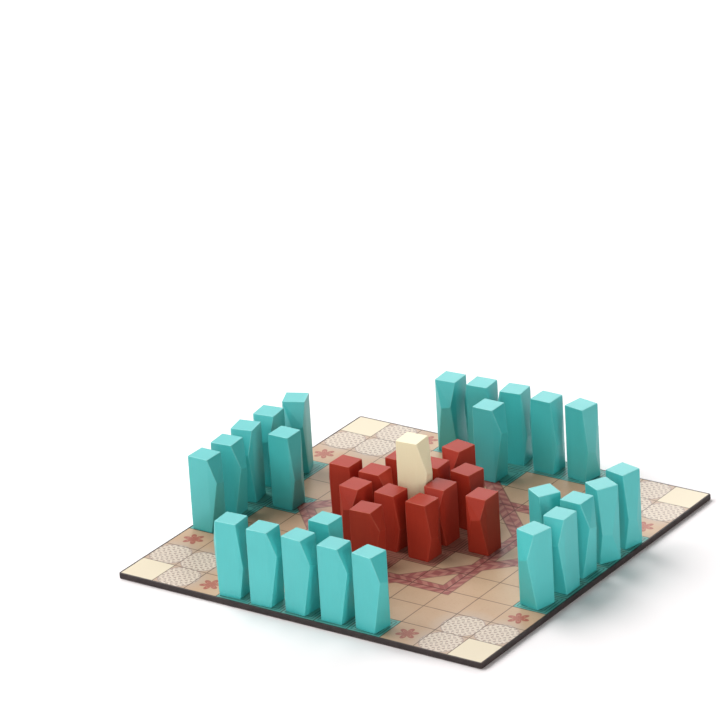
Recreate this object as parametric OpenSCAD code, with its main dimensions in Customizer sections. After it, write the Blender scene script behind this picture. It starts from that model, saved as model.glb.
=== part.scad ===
// Hnefatafl set: a rigid eleven-square board with its faceted men standing for a new game.
// Millimetres, +Z up. The origin is under the middle of the board, on the table.
// +X runs along the near edge, +Y from the near edge to the far edge.

/* [Board] */
// Side of one square of the playing grid
square_side = 24; // [18:0.5:36]
// Width of the dark margin that the wrap shows round the grid
lip_width = 1; // [0.5:0.1:4]
// Thickness of the greyboard core
core_thickness = 3.4; // [1.5:0.1:8]
// Thickness of the wrap paper
wrap_thickness = 0.3; // [0.2:0.05:0.6]
// Thickness of the printed playing sheet
sheet_thickness = 0.3; // [0.2:0.05:0.6]
// Radius of the board's corners
corner_radius = 1.5; // [0.8:0.1:5]

/* [Men] */
// Clear floor between a man's square outline and each side of its square
stand_room = 4.6; // [4:0.1:7]
// Height of a defender
defender_height = 38; // [20:1:80]
// Height of an attacker
attacker_height = 50; // [20:1:90]
// Height of the king
king_height = 63; // [30:1:110]
// How far a kink is drawn in along the face that it isn't pushed out of
kink_draw = 0.8; // [0:0.1:2]
// Length of the crease that runs from a kink across the face that it is pushed out of
crease_run = 7; // [1:0.5:8]

/* [Waist] */
// Push of the high kink out of its face, as a share of the room to the next man
high_push_share = 0.65; // [0.2:0.01:0.7]
// Push of the low kink out of its face, as a share of the room to the next man
low_push_share = 0.33; // [0.1:0.01:0.5]
// Height of the high kink, as a share of the man's height
high_kink_share = 0.7; // [0.55:0.01:0.85]
// Height of the low kink, as a share of the man's height
low_kink_share = 0.42; // [0.25:0.01:0.6]
// Fall of a crease from its kink to its end, as a share of the man's height
crease_fall_share = 0.04; // [0:0.01:0.1]

/* [Hidden] */
// The game is played on eleven squares by eleven
grid_squares = 11;
grid_side = grid_squares * square_side;
board_side = grid_side + 2 * lip_width;
board_top = wrap_thickness + core_thickness + sheet_thickness;
man_half = square_side / 2 - stand_room;
next_man_room = 2 * stand_room;
// The two pushes together take less than that room, so a man lifts out past its neighbour
high_push = high_push_share * next_man_room;
low_push = low_push_share * next_man_room;
crease_end = kink_draw + crease_run;

// Five men on the edge squares of the near side and one in front of the middle one,
// as steps of one square from the middle of the board
side_squares = [[-2, -5], [-1, -5], [0, -5], [1, -5], [2, -5], [0, -4]];
// The defenders' diamond round the king, row by row from the near side
diamond_squares = [
    [0, -2],
    [-1, -1], [0, -1], [1, -1],
    [-2, 0], [-1, 0], [1, 0], [2, 0],
    [-1, 1], [0, 1], [1, 1],
    [0, 2]
];
side_names = ["near", "right", "far", "left"];
// How each man is set down: its turn in degrees, its hand, 1 as cut or -1 for the mirrored cut,
// and how far it stands from the middle of its square to +X and +Y, in tenths of the stand room
attacker_poses = [
    [[184, 1, -8, -4], [2, 1, -8, -6], [-5, 1, -5, -4], [0, 1, -1, -4], [-7, 1, 2, -4],
     [178, 1, -2, 2]],
    [[-13, -1, -2, -3], [0, -1, 4, -1], [-2, 1, -2, -2], [152, 1, 4, -2], [167, 1, 5, -2],
     [149, 1, 0, -2]],
    [[170, 1, 0, -2], [179, 1, -4, -2], [187, 1, -6, 2], [184, 1, -7, 0], [4, -1, -4, -4],
     [0, 1, -9, -9]],
    [[24, -1, -2, -4], [8, -1, -9, -7], [12, -1, -9, -9], [5, 1, -4, -9], [-1, 1, -4, -9],
     [180, 1, 0, -4]]
];
defender_poses = [
    [3, 1, -6, -4],
    [-4, -1, -8, 0], [176, 1, -6, 4], [177, 1, -4, -2],
    [179, 1, -9, 2], [0, 1, -11, -2], [0, -1, -9, -2], [0, -1, 5, -2],
    [180, -1, -4, 0], [182, 1, -4, 0], [173, 1, -3, 2],
    [-9, -1, -4, 10]
];
king_pose = [4, 1, -5, 6];

attacker_names = [for (side = side_names) for (k = [1:len(side_squares)]) str("attacker_", side, "_", k)];
defender_names = [for (k = [1:len(diamond_squares)]) str("defender_", k)];

// Corner of a square of half side 1, counted anticlockwise from the one at +X, -Y
function corner(k) = [cos(90 * k), sin(90 * k)] + [sin(90 * k), -cos(90 * k)];

// A square step turned by quarter turns round the middle of the board
function turned(step, quarters) =
    [step.x * cos(90 * quarters) - step.y * sin(90 * quarters),
     step.x * sin(90 * quarters) + step.y * cos(90 * quarters)];

// The square section of half side half at height z
function section(half, z) = [for (k = [0:3]) [corner(k).x * half, corner(k).y * half, z]];

// A waist point: on upright edge k at that share of the height, then moved out of the face on the
// right of the edge by out and along that face by along
function waist_point(k, height, share, out, along) =
    [corner(k).x * man_half + cos(90 * k) * out - sin(90 * k) * along,
     corner(k).y * man_half + sin(90 * k) * out + cos(90 * k) * along,
     share * height];

// The waist of a man: a high kink and a low one on opposite edges, and the end of the crease that
// runs from each of them across its face
function waist(height) = [
    waist_point(0, height, high_kink_share, high_push, kink_draw),
    waist_point(0, height, high_kink_share - crease_fall_share, high_push, crease_end),
    waist_point(2, height, low_kink_share, low_push, kink_draw),
    waist_point(2, height, low_kink_share - crease_fall_share, low_push, crease_end)
];

// A sheet with true round corners, lying on z = 0
module rounded_sheet(side, radius, thickness) {
    straight = side - 2 * radius;
    linear_extrude(thickness) {
        square([side, straight], center = true);
        square([straight, side], center = true);
        for (k = [0:3]) translate(corner(k) * straight / 2) circle(radius, $fn = 48);
    }
}

// The greyboard panel inside the board
module board_core() {
    color([0.6, 0.58, 0.54]) translate([0, 0, wrap_thickness])
        rounded_sheet(board_side - 2 * wrap_thickness, corner_radius - wrap_thickness, core_thickness);
}

// The printed sheet, let in flush inside the margin of the wrap
module playing_sheet() {
    color([0.77, 0.63, 0.47]) translate([-grid_side / 2, -grid_side / 2, board_top - sheet_thickness])
        cube([grid_side, grid_side, sheet_thickness]);
}

// The dark paper glued under the core, folded up round its edges and turned in on top
module edge_wrap() {
    color([0.2, 0.15, 0.14]) difference() {
        rounded_sheet(board_side, corner_radius, board_top);
        board_core();
        playing_sheet();
    }
}

// A man cut with flat facets between its top, its waist corners and its base
module faceted_man(height) {
    points = concat(section(man_half, 0), waist(height), section(man_half, height));
    hull() polyhedron(points = points, faces = [[for (k = [0:len(points) - 1]) k]]);
}

// Sets a man down on its square with its own turn, hand and place
module set_down(step, pose) {
    place = step * square_side + [pose[2], pose[3]] * stand_room / 10;
    translate([place.x, place.y, board_top])
        rotate(pose[0])
            if (pose[1] < 0) mirror([1, 1, 0]) children();
            else children();
}

// Attacker k of one side, counted from the left as seen from that side; the last stands in front
module attacker(side, k) {
    color([0.33, 0.76, 0.73])
        set_down(turned(side_squares[k], side), attacker_poses[side][k]) faceted_man(attacker_height);
}

// Defender k of the diamond
module defender(k) {
    color([0.68, 0.23, 0.17])
        set_down(diamond_squares[k], defender_poses[k]) faceted_man(defender_height);
}

// The king on the middle square
module king() {
    color([0.93, 0.87, 0.7]) set_down([0, 0], king_pose) faceted_man(king_height);
}

board_core();
edge_wrap();
playing_sheet();
for (side = [0:len(side_names) - 1]) for (k = [0:len(side_squares) - 1])
    attacker(side, k);
for (k = [0:len(diamond_squares) - 1])
    defender(k);
king();
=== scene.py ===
"""Looks of a hnefatafl board: wrapped board, printed sheet and painted wooden men, in metres."""
from math import cos, pi, radians, sin, sqrt

import bmesh
import bpy
import numpy as np
from mathutils import Matrix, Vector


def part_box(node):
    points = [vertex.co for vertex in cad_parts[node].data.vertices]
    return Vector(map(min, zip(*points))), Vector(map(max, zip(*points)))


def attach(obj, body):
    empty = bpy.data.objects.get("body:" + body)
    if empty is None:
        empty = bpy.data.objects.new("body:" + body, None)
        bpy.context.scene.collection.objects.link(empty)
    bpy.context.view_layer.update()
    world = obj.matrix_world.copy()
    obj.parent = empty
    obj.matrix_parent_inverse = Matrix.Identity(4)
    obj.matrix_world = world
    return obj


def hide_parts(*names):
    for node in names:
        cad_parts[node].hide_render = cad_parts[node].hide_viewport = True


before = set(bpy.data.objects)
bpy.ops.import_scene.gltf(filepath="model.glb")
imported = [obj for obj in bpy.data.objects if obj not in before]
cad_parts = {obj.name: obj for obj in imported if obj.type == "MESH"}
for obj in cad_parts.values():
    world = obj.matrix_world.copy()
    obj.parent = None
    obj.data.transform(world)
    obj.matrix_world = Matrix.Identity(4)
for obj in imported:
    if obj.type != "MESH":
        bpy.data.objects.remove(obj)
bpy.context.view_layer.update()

# Board core: one panel of pressed grey board, cut square with small round corners.
# It is sealed inside the wrap and the sheet, and gives the board its stiffness.

MM = 0.001


def paint_colour(red, green, blue):
    """A colour as it is seen on a screen, 0 to 255, turned to linear light by the usual curve: a
    straight line for the darkest values and a power of 2.4 above them."""
    seen = np.array([red, green, blue]) / 255
    linear = np.where(seen <= 0.04045, seen / 12.92, ((seen + 0.055) / 1.055) ** 2.4)
    return (*linear.tolist(), 1.0)


# Places of the colour sockets on a Mix node
MIX_UNDER = 6
MIX_OVER = 7
MIX_RESULT = 2
PULP_DARK = paint_colour(150, 146, 138)
PULP_PALE = paint_colour(184, 178, 166)


class Field:
    """A number that varies over a surface: a node's output, with arithmetic that adds Math nodes."""

    def __init__(self, tree, socket):
        self.tree = tree
        self.socket = socket

    def math(self, operation, *values, clamp=False):
        """The result of a Math node on the values, each a field or a plain number."""
        node = self.tree.nodes.new("ShaderNodeMath")
        node.operation = operation
        node.use_clamp = clamp
        for entry, value in zip(node.inputs, values):
            if isinstance(value, Field):
                self.tree.links.new(value.socket, entry)
            else:
                entry.default_value = value
        return Field(self.tree, node.outputs[0])

    # Plain arithmetic: each of these is the Math node that its name says

    def __add__(self, other):
        return self.math("ADD", self, other)

    def __sub__(self, other):
        return self.math("SUBTRACT", self, other)

    def __mul__(self, other):
        return self.math("MULTIPLY", self, other)

    def __pow__(self, power):
        return self.math("POWER", self, power)

    def __abs__(self):
        return self.math("ABSOLUTE", self)

    def round(self):
        return self.math("ROUND", self)

    def sine(self):
        return self.math("SINE", self)

    def cosine(self):
        return self.math("COSINE", self)

    def larger(self, other):
        return self.math("MAXIMUM", self, other)

    def smaller(self, other):
        return self.math("MINIMUM", self, other)

    def over(self, limit):
        """1 where the number is above the limit, else 0."""
        return self.math("GREATER_THAN", self, limit)

    def under(self, limit, blur):
        """1 well below the limit, 0 well above it, and a straight ramp as wide as blur between."""
        return self.math("MULTIPLY_ADD", self, -1 / blur, limit / blur + 0.5, clamp=True)

    def at_least(self, whole):
        """1 where a whole number is that much or more, else 0."""
        return self.over(whole - 0.5)

    def at_most(self, whole):
        """1 where a whole number is that much or less, else 0."""
        return self.under(whole + 0.5, blur=0.1)

    def choose(self, yes, no):
        """yes where this number is 1, no where it is 0."""
        return no + (yes - no) * self

    def length(self, other):
        """The hypotenuse over this number and the other."""
        return self.math("SQRT", self * self + other * other)

    def angle(self, other):
        """The angle of the point that has this number along one axis and the other along the next."""
        return self.math("ARCTAN2", other, self)


def new_finish(name):
    """A material with one Principled shader: returns it, its node tree and the shader."""
    material = bpy.data.materials.new(name)
    material.use_nodes = True
    shader = material.node_tree.nodes["Principled BSDF"]
    return material, material.node_tree, shader


def grain(tree, size, detail, stretch=(1.0, 1.0, 1.0)):
    """Noise between 0 and 1 in blots about size metres across, longer where stretch is under 1."""
    where = tree.nodes.new("ShaderNodeTexCoord")
    mapping = tree.nodes.new("ShaderNodeMapping")
    mapping.inputs["Scale"].default_value = stretch
    noise = tree.nodes.new("ShaderNodeTexNoise")
    noise.inputs["Scale"].default_value = 1 / size
    noise.inputs["Detail"].default_value = detail
    tree.links.new(where.outputs["Object"], mapping.inputs["Vector"])
    tree.links.new(mapping.outputs[0], noise.inputs["Vector"])
    return Field(tree, noise.outputs["Fac"])


def lay_colour(tree, under, over, share):
    """Mixes the colour over into the colour under by share; a colour is a socket or four numbers."""
    mix = tree.nodes.new("ShaderNodeMix")
    mix.data_type = "RGBA"
    tree.links.new(share.socket, mix.inputs["Factor"])
    for entry, colour in ((mix.inputs[MIX_UNDER], under), (mix.inputs[MIX_OVER], over)):
        if isinstance(colour, bpy.types.NodeSocket):
            tree.links.new(colour, entry)
        else:
            entry.default_value = colour
    return mix.outputs[MIX_RESULT]


def raise_surface(tree, shader, height, strength, depth):
    """Bump of the given depth in metres from a field between 0 and 1."""
    bump = tree.nodes.new("ShaderNodeBump")
    bump.inputs["Strength"].default_value = strength
    bump.inputs["Distance"].default_value = depth
    tree.links.new(height.socket, bump.inputs["Height"])
    tree.links.new(bump.outputs[0], shader.inputs["Normal"])


def pressed_board():
    """Grey pulp pressed flat: fine fibres between two greys, dull and slightly felted."""
    material, tree, shader = new_finish("pressed_board")
    fibres = grain(tree, size=0.8 * MM, detail=6.0)
    tree.links.new(lay_colour(tree, PULP_DARK, PULP_PALE, fibres), shader.inputs["Base Color"])
    shader.inputs["Roughness"].default_value = 0.9
    raise_surface(tree, shader, fibres, strength=0.4, depth=0.1 * MM)
    return material


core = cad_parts["board_core"]
core.data.materials.clear()
core.data.materials.append(pressed_board())

# Edge wrap: dark brown paper glued under the core, folded up round its four edges and turned in
# on top as a narrow margin. The paper rounds every fold. The folds are paler in spots, partly from
# rubbing and partly as painted light: the lower fold most, as painted light from the white table
# below, and the upper fold little, as painted shade on the margin.

_, wrap_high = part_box("edge_wrap")
sheet_low, sheet_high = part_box("playing_sheet")
board_half = wrap_high.x
board_top = wrap_high.z
sheet_half = sheet_high.x
WRAP_CORNER = 1.5 * MM
UPPER_FOLD = 0.4 * MM
LOWER_FOLD = 0.9 * MM
# The upper fold takes only this share of the pale, which keeps the margin darker as painted shade.
UPPER_RUB_AND_SHADE = 0.3
CORNER_STEPS = 10
SIDE_STEPS = 24
FOLD_STEPS = 6
# Rings between an edge and the middle of the board, as shares of the way in
INWARD_SHARES = (0.1, 0.4, 0.7, 1.0)
SEAM_GAP = 1e-7
NOISE_MIDDLE = 0.5
RUB_AND_LIGHT_SHARE = 0.5
WRAP_DARK = paint_colour(32, 25, 27)
WRAP_BROWN = paint_colour(54, 43, 43)
WRAP_FIBRE = paint_colour(84, 74, 70)
WRAP_RUBBED_AND_LIT = paint_colour(142, 124, 112)


def square_outline(half, radius):
    """Closed outline of a square with round corners, as (n, 2) points.

    A quarter of it is the straight side at x = half and then an arc of the given radius about the
    corner's centre. The whole is that quarter, turned by 90 degrees each time."""
    straight = half - radius
    turn = np.linspace(0, pi / 2, CORNER_STEPS)
    run = np.linspace(-straight, straight, SIDE_STEPS + 1)[1:-1]
    side = np.stack([np.full_like(run, half), run], 1)
    corner = straight + radius * np.stack([np.cos(turn), np.sin(turn)], 1)
    points = np.concatenate([side, corner])
    quarter = np.array([[0.0, -1.0], [1.0, 0.0]])
    return np.concatenate([points @ np.linalg.matrix_power(quarter, k).T for k in range(4)])


def carried_round(profile, half, radius):
    """Carries a profile of (inset, height) points round the square: each point makes one ring.

    A ring is the outline moved inwards by its inset; the corner radius shrinks with it, down to
    nothing, so a profile that ends at an inset of half a side closes on the middle."""
    rings = []
    for inset, height in profile:
        points = square_outline(half - inset, max(radius - inset, 0.0))
        rings.append(np.column_stack([points, np.full(len(points), height)]))
    return np.array(rings)


def mesh_from_rings(name, rings, fields=()):
    """A mesh from closed rings of points, shape (rings, points, 3), joined ring to ring by quads.

    fields are (name, values) pairs with one value a ring, kept as a point attribute."""
    count, around = rings.shape[:2]
    first = np.arange(count - 1)[:, None] * around + np.arange(around)
    second = np.roll(first, -1, axis=1)
    quads = np.stack([first, second, second + around, first + around], -1).reshape(-1, 4)
    mesh = bpy.data.meshes.new(name)
    mesh.from_pydata(rings.reshape(-1, 3).tolist(), [], quads.tolist())
    for label, values in fields:
        attribute = mesh.attributes.new(label, "FLOAT", "POINT")
        attribute.data.foreach_set("value", np.repeat(np.asarray(values, float), around))
    solid = bmesh.new()
    solid.from_mesh(mesh)
    bmesh.ops.remove_doubles(solid, verts=solid.verts, dist=SEAM_GAP)
    bmesh.ops.recalc_face_normals(solid, faces=solid.faces)
    solid.to_mesh(mesh)
    solid.free()
    return mesh


def new_piece(name, mesh, material, body, nodes):
    """Puts a mesh into the scene as a piece that rides on a body and stands for CAD nodes."""
    mesh.materials.clear()
    mesh.materials.append(material)
    piece = bpy.data.objects.new(name, mesh)
    bpy.context.scene.collection.objects.link(piece)
    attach(piece, body)
    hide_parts(*nodes)
    return piece


def wrap_profile():
    """From the inner edge of the margin outwards, round the upper fold, down the edge, round the
    lower fold and in under the board to its middle. A fold is a quarter circle.

    The second result is the share of pale at each point, partly rubbing and partly painted light:
    sin(2 * angle) on the lower fold, a share of that on the upper one, which stays darker as painted
    shade on the margin, and 0 elsewhere."""
    arc = np.linspace(0, pi / 2, FOLD_STEPS)
    margin = board_half - sheet_half
    turned_in = [(margin, sheet_low.z), (margin, board_top)]
    upper = [(UPPER_FOLD * (1 - sin(a)), board_top - UPPER_FOLD * (1 - cos(a))) for a in arc]
    lower = [(LOWER_FOLD * (1 - cos(a)), LOWER_FOLD * (1 - sin(a))) for a in arc]
    beneath = [(board_half * share, 0.0) for share in INWARD_SHARES]
    fold_rub_and_light_curve = np.sin(2 * arc)
    fold_rub_and_light = np.zeros(len(turned_in)), UPPER_RUB_AND_SHADE * fold_rub_and_light_curve, fold_rub_and_light_curve, np.zeros(len(beneath))
    return turned_in + upper + lower + beneath, np.concatenate(fold_rub_and_light)


def own_field(tree, name):
    """The attribute of that name which the mesh carries."""
    reader = tree.nodes.new("ShaderNodeAttribute")
    reader.attribute_name = name
    return Field(tree, reader.outputs["Fac"])


def vary_roughness(tree, shader, field, least, spread):
    """Roughness that grows with a field between 0 and 1, from least to least + spread."""
    tree.links.new((field * spread + least).socket, shader.inputs["Roughness"])


def wrap_paper():
    """Cloudy dark brown paper with long fibres and a slight sheen, paler in spots along the folds:
    partly rubbing and partly painted light, most on the lower fold and little on the upper one.

    The cube of the fibre noise leaves only its peaks pale."""
    material, tree, shader = new_finish("wrap_paper")
    fibres = grain(tree, size=0.5 * MM, detail=5.0, stretch=(1.0, 0.35, 1.0))
    cloud = grain(tree, size=8 * MM, detail=4.0).under(NOISE_MIDDLE, blur=0.4)
    spots = grain(tree, size=9 * MM, detail=6.0).under(NOISE_MIDDLE, blur=0.5)
    # Partly rubbing and partly painted light: the folds are mixed toward pale brown, the lower fold
    # most as painted light from the white table, the upper fold little as painted shade on the
    # margin.
    rub_and_painted_light = own_field(tree, "fold_rub_and_light") * spots * RUB_AND_LIGHT_SHARE
    body = lay_colour(tree, WRAP_DARK, WRAP_BROWN, cloud)
    body = lay_colour(tree, body, WRAP_FIBRE, fibres ** 3.0)
    body = lay_colour(tree, body, WRAP_RUBBED_AND_LIT, rub_and_painted_light)
    tree.links.new(body, shader.inputs["Base Color"])
    vary_roughness(tree, shader, fibres, least=0.42, spread=0.2)
    shader.inputs["Specular IOR Level"].default_value = 0.3
    raise_surface(tree, shader, fibres, strength=0.35, depth=0.06 * MM)
    return material


profile, fold_rub_and_light = wrap_profile()
wrap_rings = carried_round(profile, board_half, WRAP_CORNER)
wrap_mesh = mesh_from_rings("edge_wrap", wrap_rings, [("fold_rub_and_light", fold_rub_and_light)])
wrap_mesh.shade_smooth()
new_piece("folded_wrap", wrap_mesh, wrap_paper(), "board", ["edge_wrap"])

# Playing sheet: printed paper with a satin coat, cut to the grid and glued on flush inside the
# margin. The print is flat: tan ground, brown grid, tinted home squares and plain ornaments.
# Sizes of the print are in squares, and the number of an ink says how strongly it covers.

SQUARES = 11
square = 2 * sheet_half / SQUARES
SHEET_CORNER = 0.2 * MM
CUT_RADIUS = 0.12 * MM
CUT_STEPS = 4
HAIRLINE = 0.08 * MM
INK_WAVER = 0.009
INK_BLUR = 0.02
TAN = paint_colour(183, 149, 118)
TAN_PALE = paint_colour(201, 167, 137)
TAN_SPECK = paint_colour(166, 130, 98)
SPECK_LEVEL = 0.6
SPECK_INK = 0.12


class PrintPlace:
    """A place on the print, in squares from the middle of the board, as fields.

    side_x and side_y are the distances from the two middle lines, far and near the larger and the
    smaller of them, outer and inner the same in whole squares, and steps their sum. to_line is the
    distance to the nearest grid line: half a square less the way out from the square's middle."""

    def __init__(self, tree):
        where = tree.nodes.new("ShaderNodeTexCoord")
        split = tree.nodes.new("ShaderNodeSeparateXYZ")
        tree.links.new(where.outputs["Object"], split.inputs[0])
        waver = (grain(tree, size=4 * MM, detail=3.0) - NOISE_MIDDLE) * INK_WAVER
        self.x = Field(tree, split.outputs["X"]) * (1 / square) + waver
        self.y = Field(tree, split.outputs["Y"]) * (1 / square) - waver
        self.side_x = abs(self.x)
        self.side_y = abs(self.y)
        self.far = self.side_x.larger(self.side_y)
        self.near = self.side_x.smaller(self.side_y)
        column = abs(self.x.round())
        row = abs(self.y.round())
        self.outer = column.larger(row)
        self.inner = column.smaller(row)
        self.steps = column + row
        way_out = abs(self.x - self.x.round()).larger(abs(self.y - self.y.round()))
        self.to_line = abs(way_out - 0.5)


# Home squares: teal for the attackers, five on each edge and one in front, and dull red for the
# defenders' diamond, each with fine rules along its sides. The dull red is partly printed tint and
# partly painted shade among the defenders, which makes it darker.

EDGE_RANK = 5
EDGE_REACH = 2
DIAMOND_REACH = 2
RULE_PITCH = 0.085
RULE_DEPTH = 0.2
RULE_LEVEL = 0.4
HOME_TEAL = paint_colour(54, 160, 153)
# Defenders' tint: print, made darker as painted shade among the defenders.
HOME_RED_AND_SHADE = paint_colour(150, 88, 78)
RULE_TEAL = paint_colour(24, 88, 86)
RULE_RED = paint_colour(100, 46, 44)
HOME_TEAL_INK = 0.76
HOME_RED_AND_SHADE_INK = 0.6
BLOT_INK = 0.25
RULE_TEAL_INK = 0.8
RULE_RED_INK = 0.6


def home_squares(tree, place, ground):
    """Tints the home squares. A rule is where cos(2 * pi * way to the grid line / pitch) is above
    a level, as far in as the rules reach."""
    on_edge = place.outer.at_least(EDGE_RANK) * place.inner.at_most(EDGE_REACH)
    front_rank = place.outer.at_least(EDGE_RANK - 1) * place.outer.at_most(EDGE_RANK - 1)
    attackers = on_edge + front_rank * place.inner.at_most(0)
    defenders = place.steps.at_least(1) * place.steps.at_most(DIAMOND_REACH)
    blot = grain(tree, size=7 * MM, detail=4.0) * BLOT_INK
    wave = (place.to_line * (2 * pi / RULE_PITCH)).cosine()
    rules = wave.over(RULE_LEVEL) * place.to_line.under(RULE_DEPTH, INK_BLUR)
    ground = lay_colour(tree, ground, HOME_TEAL, attackers * (blot + HOME_TEAL_INK))
    # The dull red is printed tint, made darker as painted shade among the defenders.
    ground = lay_colour(tree, ground, HOME_RED_AND_SHADE, defenders * (blot + HOME_RED_AND_SHADE_INK))
    ground = lay_colour(tree, ground, RULE_TEAL, attackers * rules * RULE_TEAL_INK)
    return lay_colour(tree, ground, RULE_RED, defenders * rules * RULE_RED_INK)


# Corner ornament: three round patches of woven strands about each corner square, printed in greys
# and cream over a pale haze.

PATCH_RADIUS = 0.55
PATCH_RANK = 4
PATCH_LINE = 0.014
HAZE_REACH = 0.12
HAZE_BLUR = 0.5
NET_STRANDS = 5.5
NET_SWAY = 0.12
STRAND_HALF = 0.27
STRAND_OUTLINE = 0.36
STRAND_BLUR = 0.1
HAZE_GREY = paint_colour(186, 172, 160)
NET_GROUND = paint_colour(176, 154, 138)
NET_OUTLINE = paint_colour(148, 124, 116)
NET_STRAND = paint_colour(217, 203, 186)
PATCH_RIM = paint_colour(150, 126, 122)
HAZE_INK = 0.6
OUTLINE_INK = 0.8
NET_INK = 0.9
RIM_INK = 0.6


def woven_patches(tree, place, ground):
    """A net of two families of strands, counted along the board's diagonals.

    A strand runs where its count is near a whole number, and sways with the sine of the other
    count. At each crossing the upper strand is the one that the sum of the two counts picks, by
    its being even or odd."""
    inwards = (place.side_x - PATCH_RANK).length(place.side_y - PATCH_RANK)
    beside = (place.far - EDGE_RANK).length(place.near - PATCH_RANK)
    patch = inwards.smaller(beside) - PATCH_RADIUS
    inside = patch.under(0.0, INK_BLUR)
    ground = lay_colour(tree, ground, HAZE_GREY, patch.under(HAZE_REACH, HAZE_BLUR) * HAZE_INK)

    across = (place.side_x + place.side_y) * NET_STRANDS
    along = (place.side_x - place.side_y) * NET_STRANDS
    rising = across + (along * pi).sine() * NET_SWAY
    falling = along + (across * pi).sine() * NET_SWAY
    first = abs(rising - rising.round())
    second = abs(falling - falling.round())
    even = ((rising.round() + falling.round()) * pi).cosine().over(0.0)
    upper = even.choose(first, second)
    lower = first + second - upper
    net = lay_colour(tree, ground, NET_GROUND, inside)
    for strand in (lower, upper):
        outline = strand.under(STRAND_OUTLINE, STRAND_BLUR)
        net = lay_colour(tree, net, NET_OUTLINE, outline * OUTLINE_INK)
        net = lay_colour(tree, net, NET_STRAND, strand.under(STRAND_HALF, STRAND_BLUR))
    ground = lay_colour(tree, ground, net, inside * NET_INK)
    return lay_colour(tree, ground, PATCH_RIM, abs(patch).under(PATCH_LINE, INK_BLUR) * RIM_INK)


# Blossoms: a small flower of six petals on either side of each row of attackers, printed in red
# with a pale line inside its edge.

BLOSSOM_RANK = 3
PETALS = 6
BLOSSOM_RADIUS = 0.3
PETAL_DEPTH = 0.6
PETAL_LINE_INSET = 0.12
PETAL_LINE = 0.012
BLOSSOM_RED = paint_colour(158, 70, 57)
PETAL_PALE = paint_colour(206, 150, 124)
BLOSSOM_INK = 0.85
PETAL_INK = 0.6


def blossoms(tree, place, ground):
    """A flower whose edge is radius * (1 - depth + depth * |cos(petals / 2 * angle)|) from its
    middle, with a pale line a fixed way inside that edge."""
    outwards = place.far - EDGE_RANK
    sideways = place.near - BLOSSOM_RANK
    lobes = abs((outwards.angle(sideways) * (PETALS / 2)).cosine())
    reach = lobes * (BLOSSOM_RADIUS * PETAL_DEPTH) + BLOSSOM_RADIUS * (1 - PETAL_DEPTH)
    outside = outwards.length(sideways) - reach
    petals = outside.under(0.0, INK_BLUR)
    line = abs(outside + PETAL_LINE_INSET).under(PETAL_LINE, INK_BLUR) * petals
    ground = lay_colour(tree, ground, BLOSSOM_RED, petals * BLOSSOM_INK)
    return lay_colour(tree, ground, PETAL_PALE, line * PETAL_INK)


# Middle ornament: two square bands with a chevron weave, one upright and one turned by 45 degrees,
# that pass over and under each other.

BAND_HALF_SIDE = 2.5
BAND_HALF_WIDTH = 0.19
BAND_EDGE = 0.03
BAND_MIDDLE = 0.02
BAND_CHEVRONS = 6
CHEVRON_BLUR = 0.8
BAND_ROSE = paint_colour(156, 86, 82)
BAND_PALE = paint_colour(184, 122, 110)
BAND_DARK = paint_colour(126, 66, 64)
BAND_BORDER = paint_colour(112, 58, 54)
BAND_INK = 0.85
MIDDLE_INK = 0.6
BORDER_INK = 0.8


def woven_bands(tree, place, ground):
    """Two bands round squares, the second square being the first with the axes turned.

    A band lies where the larger distance from its square's middle lines is near half a side. Its
    chevrons are stripes of sin(chevrons * pi * (way along + way across)), and the sign of
    x * y * (x * x - y * y) picks the band that is laid first, so that it changes eight times."""
    x, y = place.x, place.y
    slant_x = (x + y) * (1 / sqrt(2))
    slant_y = (y - x) * (1 / sqrt(2))
    slant_side_x, slant_side_y = abs(slant_x), abs(slant_y)
    slant_far = slant_side_x.larger(slant_side_y)
    upright_run = place.side_x.over(place.side_y).choose(y, x)
    slant_run = slant_side_x.over(slant_side_y).choose(slant_y, slant_x)
    slant_first = (x * y * (x * x - y * y)).over(0.0)
    bands = [
        (slant_first.choose(slant_far, place.far), slant_first.choose(slant_run, upright_run)),
        (slant_first.choose(place.far, slant_far), slant_first.choose(upright_run, slant_run)),
    ]
    for distance, run in bands:
        offset = abs(distance - BAND_HALF_SIDE)
        weave = ((abs(run) + offset) * (BAND_CHEVRONS * pi)).sine().under(0.0, CHEVRON_BLUR)
        border = offset.under(BAND_HALF_WIDTH + BAND_EDGE, INK_BLUR)
        band = lay_colour(tree, BAND_ROSE, BAND_PALE, weave)
        band = lay_colour(tree, band, BAND_DARK, offset.under(BAND_MIDDLE, INK_BLUR) * MIDDLE_INK)
        ground = lay_colour(tree, ground, BAND_BORDER, border * BORDER_INK)
        ground = lay_colour(tree, ground, band, offset.under(BAND_HALF_WIDTH, INK_BLUR) * BAND_INK)
    return ground


# Grid and paper: the four corner squares and the middle one are plain cream, and brown lines are
# ruled over all of it. The paper under the ink is finely toothed.

LINE_HALF = 0.012
LINE_BLUR = 0.012
CREAM = paint_colour(225, 211, 184)
LINE_BROWN = paint_colour(66, 40, 22)
LINE_INK_LEAST = 0.6
LINE_INK_SPREAD = 0.5


def ruled_grid(tree, place, ground):
    """Cream on the five plain squares, then lines whose ink is uneven along their length."""
    plain = place.steps.at_most(0) + place.inner.at_least(EDGE_RANK)
    ink = grain(tree, size=9 * MM, detail=4.0) * LINE_INK_SPREAD + LINE_INK_LEAST
    line = place.to_line.under(LINE_HALF, LINE_BLUR) * ink
    ground = lay_colour(tree, ground, CREAM, plain)
    return lay_colour(tree, ground, LINE_BROWN, line.smaller(1.0))


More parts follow.
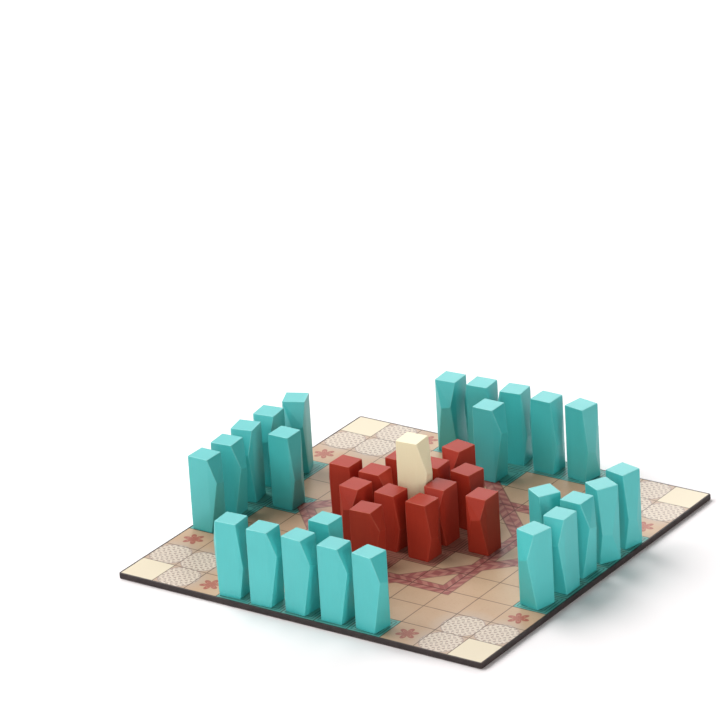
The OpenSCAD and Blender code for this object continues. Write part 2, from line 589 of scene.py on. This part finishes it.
def printed_paper():
    """Tan paper that drifts between two tones, with darker specks, and the print laid on it."""
    material, tree, shader = new_finish("printed_paper")
    place = PrintPlace(tree)
    speck = grain(tree, size=1.1 * MM, detail=4.0)
    ground = lay_colour(tree, TAN, TAN_PALE, grain(tree, size=26 * MM, detail=5.0))
    ground = lay_colour(tree, ground, TAN_SPECK, speck.over(SPECK_LEVEL) * SPECK_INK)
    for layer in (home_squares, woven_patches, blossoms, woven_bands, ruled_grid):
        ground = layer(tree, place, ground)
    tree.links.new(ground, shader.inputs["Base Color"])
    vary_roughness(tree, shader, speck, least=0.4, spread=0.12)
    shader.inputs["Specular IOR Level"].default_value = 0.3
    tooth = grain(tree, size=0.35 * MM, detail=3.0)
    raise_surface(tree, shader, tooth, strength=0.2, depth=0.03 * MM)
    return material


def sheet_profile():
    """From under the sheet out to its cut edge, up over the quarter circle of its rim and in to
    the middle of the board."""
    arc = np.linspace(0, pi / 2, CUT_STEPS)
    below = [(sheet_half * share, sheet_low.z) for share in (1.0, 0.5)]
    rim = [(HAIRLINE + CUT_RADIUS * (1 - cos(a)), board_top - CUT_RADIUS * (1 - sin(a))) for a in arc]
    inwards = [(sheet_half * share, board_top) for share in INWARD_SHARES]
    return below + [(HAIRLINE, sheet_low.z)] + rim + inwards


sheet_rings = carried_round(sheet_profile(), sheet_half, SHEET_CORNER)
sheet_mesh = mesh_from_rings("playing_sheet", sheet_rings)
new_piece("printed_sheet", sheet_mesh, printed_paper(), "board", ["playing_sheet"])

# Men: blocks of close-grained wood cut with flat facets, their edges eased with sandpaper and then
# painted: twenty-four teal attackers, twelve red defenders and one pale king. They stand loose.

EDGE_EASE = 0.4 * MM
EASE_STEPS = 2
VERTEX_GAP = 1e-6
FLAT = radians(0.5)
CREASE = radians(3)
SHARP = radians(45)
SIDE_RUB_AND_HIGHLIGHT = 0.2
RUB_AND_HIGHLIGHT_LEAST = 0.25
RUB_AND_HIGHLIGHT_SPREAD = 0.5
TONE_SHARE = 0.7
HOLLOW_SHARE = 0.85


def eased_copy(node):
    """A copy of a man's solid with its triangles joined, flat facets made whole and edges rounded.

    Each strip of a rounded edge keeps how much pale paint it takes, partly paint rubbed thin and
    partly painted highlight: how sharply it bends, up to 1, times a small share on the sides that
    grows to 1 where the strip faces up, at the rim of the top, where the highlight is painted."""
    mesh = bpy.data.meshes.new(node)
    solid = bmesh.new()
    solid.from_mesh(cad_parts[node].data)
    bmesh.ops.remove_doubles(solid, verts=solid.verts, dist=VERTEX_GAP)
    bmesh.ops.dissolve_limit(solid, angle_limit=FLAT, verts=solid.verts, edges=solid.edges)
    eased = solid.faces.layers.float.new("eased")
    creases = [edge for edge in solid.edges if edge.calc_face_angle() > CREASE]
    rounded = bmesh.ops.bevel(solid, geom=creases, offset=EDGE_EASE, offset_type="OFFSET",
                              affect="EDGES", segments=EASE_STEPS, profile=0.5, clamp_overlap=True)
    for strip in rounded["faces"]:
        long_edges = sorted(strip.edges, key=lambda edge: edge.calc_length())[-2:]
        bend = max(edge.calc_face_angle(0.0) for edge in long_edges) / SHARP
        # Painted highlight: a strip that faces up, at the rim of the top, takes the most pale paint.
        upward_highlight = max(strip.normal.z, 0.0)
        strip[eased] = min(bend, 1.0) * (SIDE_RUB_AND_HIGHLIGHT + (1 - SIDE_RUB_AND_HIGHLIGHT) * upward_highlight)
    solid.to_mesh(mesh)
    solid.free()
    mesh.shade_smooth()
    return mesh


def painted_wood(name, paint, deep, thin_paint_and_highlight, sheen):
    """Satin paint over cut wood: a soft drift of tone, upright grain that shows through, paler paint
    in spots along the eased edges and most along the rim of the top, partly rubbed thin and partly a
    painted highlight, and faces that aren't quite flat."""
    material, tree, shader = new_finish(name)
    drift = grain(tree, size=16 * MM, detail=3.0)
    fibre = grain(tree, size=0.9 * MM, detail=5.0, stretch=(1.0, 1.0, 0.08))
    hollow = grain(tree, size=11 * MM, detail=2.0)
    spots = grain(tree, size=3 * MM, detail=5.0).under(NOISE_MIDDLE, blur=0.5)
    # Partly rubbed paint and partly painted highlight along the eased edges, in the pale thin colour.
    rub_and_painted_light = own_field(tree, "eased") * (spots * RUB_AND_HIGHLIGHT_SPREAD + RUB_AND_HIGHLIGHT_LEAST)
    tone = ((drift + fibre) * TONE_SHARE).smaller(1.0)
    colour = lay_colour(tree, deep, paint, tone)
    colour = lay_colour(tree, colour, thin_paint_and_highlight, rub_and_painted_light)
    tree.links.new(colour, shader.inputs["Base Color"])
    vary_roughness(tree, shader, fibre, least=0.4, spread=0.14)
    shader.inputs["Specular IOR Level"].default_value = sheen
    uneven = hollow * HOLLOW_SHARE + fibre * (1 - HOLLOW_SHARE)
    raise_surface(tree, shader, uneven, strength=1.0, depth=0.1 * MM)
    return material


# The thin colour is both paint rubbed thin on the edges and a painted highlight, much lighter than
# the paint.
TEAL = painted_wood("teal_paint", paint=paint_colour(67, 189, 188), deep=paint_colour(58, 178, 177),
                    thin_paint_and_highlight=paint_colour(150, 224, 221), sheen=0.85)
RED = painted_wood("red_paint", paint=paint_colour(170, 54, 37), deep=paint_colour(156, 45, 31),
                   thin_paint_and_highlight=paint_colour(208, 114, 90), sheen=0.16)
PALE = painted_wood("pale_paint", paint=paint_colour(250, 238, 200), deep=paint_colour(246, 231, 189),
                    thin_paint_and_highlight=paint_colour(252, 244, 220), sheen=0.5)
PAINTS = {"attacker": (TEAL, "teal_man"), "defender": (RED, "red_man"), "king": (PALE, "pale_man")}

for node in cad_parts:
    kind = node.split("_")[0]
    if kind in PAINTS:
        paint, slot = PAINTS[kind]
        man = new_piece("painted_" + node, eased_copy(node), paint, node, [node])
        man.modifiers.new("facet_normals", "WEIGHTED_NORMAL")

# Stage: a white table top, a faint pale sky and seven soft square lamps, the strongest high on the
# left and low at the back, all turned to the middle of the board. The camera stands far off with a
# long lens, at the height and turn that the board is seen from.

FLOOR_HALF = 6.0
TABLE_WHITE = (0.985, 0.94, 0.94, 1.0)
SKY_STRENGTH = 0.06
WHITE = (1.0, 1.0, 1.0)
ROSY = (1.0, 0.95, 0.94)
CAMERA_PLACE = (1.582, -2.268, 1.304)
CAMERA_YAW = radians(35.50)
CAMERA_PITCH = radians(23.13)
CAMERA_ROLL = radians(-3.52)
CAMERA_LENS = 245.9
CAMERA_SENSOR = 36.0
CAMERA_REACH = 50.0

floor_mesh = bpy.data.meshes.new("table_top")
corner_signs = ((-1, -1), (1, -1), (1, 1), (-1, 1))
floor_corners = [(FLOOR_HALF * x, FLOOR_HALF * y, 0) for x, y in corner_signs]
floor_mesh.from_pydata(floor_corners, [], [(0, 1, 2, 3)])
table, _, table_shader = new_finish("white_table")
table_shader.inputs["Base Color"].default_value = TABLE_WHITE
table_shader.inputs["Roughness"].default_value = 0.8
floor_mesh.materials.append(table)
floor = bpy.data.objects.new("table_top", floor_mesh)
bpy.context.scene.collection.objects.link(floor)

sky = bpy.data.worlds.new("pale_sky")
sky.use_nodes = True
sky_light = sky.node_tree.nodes["Background"]
sky_light.inputs["Color"].default_value = (*WHITE, 1.0)
sky_light.inputs["Strength"].default_value = SKY_STRENGTH
bpy.context.scene.world = sky


def soft_lamp(name, place, side, power, tint=WHITE):
    """A square lamp with sides of that length, turned from its place to the middle of the board:
    first by the yaw of that direction and then by its pitch."""
    light = bpy.data.lights.new(name, "AREA")
    light.size = side
    light.energy = power
    light.color = tint
    lamp = bpy.data.objects.new(name, light)
    bpy.context.scene.collection.objects.link(lamp)
    x, y, z = place
    yaw = np.arctan2(x, -y)
    pitch = np.arctan2(-z, np.hypot(x, y))
    turn = Matrix.Rotation(yaw, 4, "Z") @ Matrix.Rotation(pi / 2 + pitch, 4, "X")
    lamp.matrix_world = Matrix.Translation(place) @ turn


soft_lamp("high_left", (-1.94, -0.07, 2.28), side=2.4, power=87.0)
soft_lamp("back_left", (-1.74, 1.22, 2.12), side=2.0, power=15.0)
soft_lamp("low_back", (-0.72, 2.69, 1.12), side=2.2, power=56.0)
soft_lamp("front_left", (-1.52, -1.94, 1.66), side=1.5, power=19.5)
soft_lamp("low_front", (0.26, -2.92, 0.62), side=1.0, power=4.0)
soft_lamp("by_camera", (1.52, -2.43, 0.86), side=1.1, power=21.0)
soft_lamp("low_right", (2.72, -1.1, 0.62), side=0.9, power=26.0, tint=ROSY)

camera_data = bpy.data.cameras.new("camera")
camera_data.lens = CAMERA_LENS
camera_data.sensor_width = CAMERA_SENSOR
camera_data.clip_end = CAMERA_REACH
camera = bpy.data.objects.new("camera", camera_data)
bpy.context.scene.collection.objects.link(camera)
camera_tilt = Matrix.Rotation(pi / 2 - CAMERA_PITCH, 4, "X") @ Matrix.Rotation(CAMERA_ROLL, 4, "Z")
camera_turn = Matrix.Rotation(CAMERA_YAW, 4, "Z") @ camera_tilt
camera.matrix_world = Matrix.Translation(CAMERA_PLACE) @ camera_turn
bpy.context.scene.camera = camera
bpy.context.scene.view_settings.view_transform = "Standard"
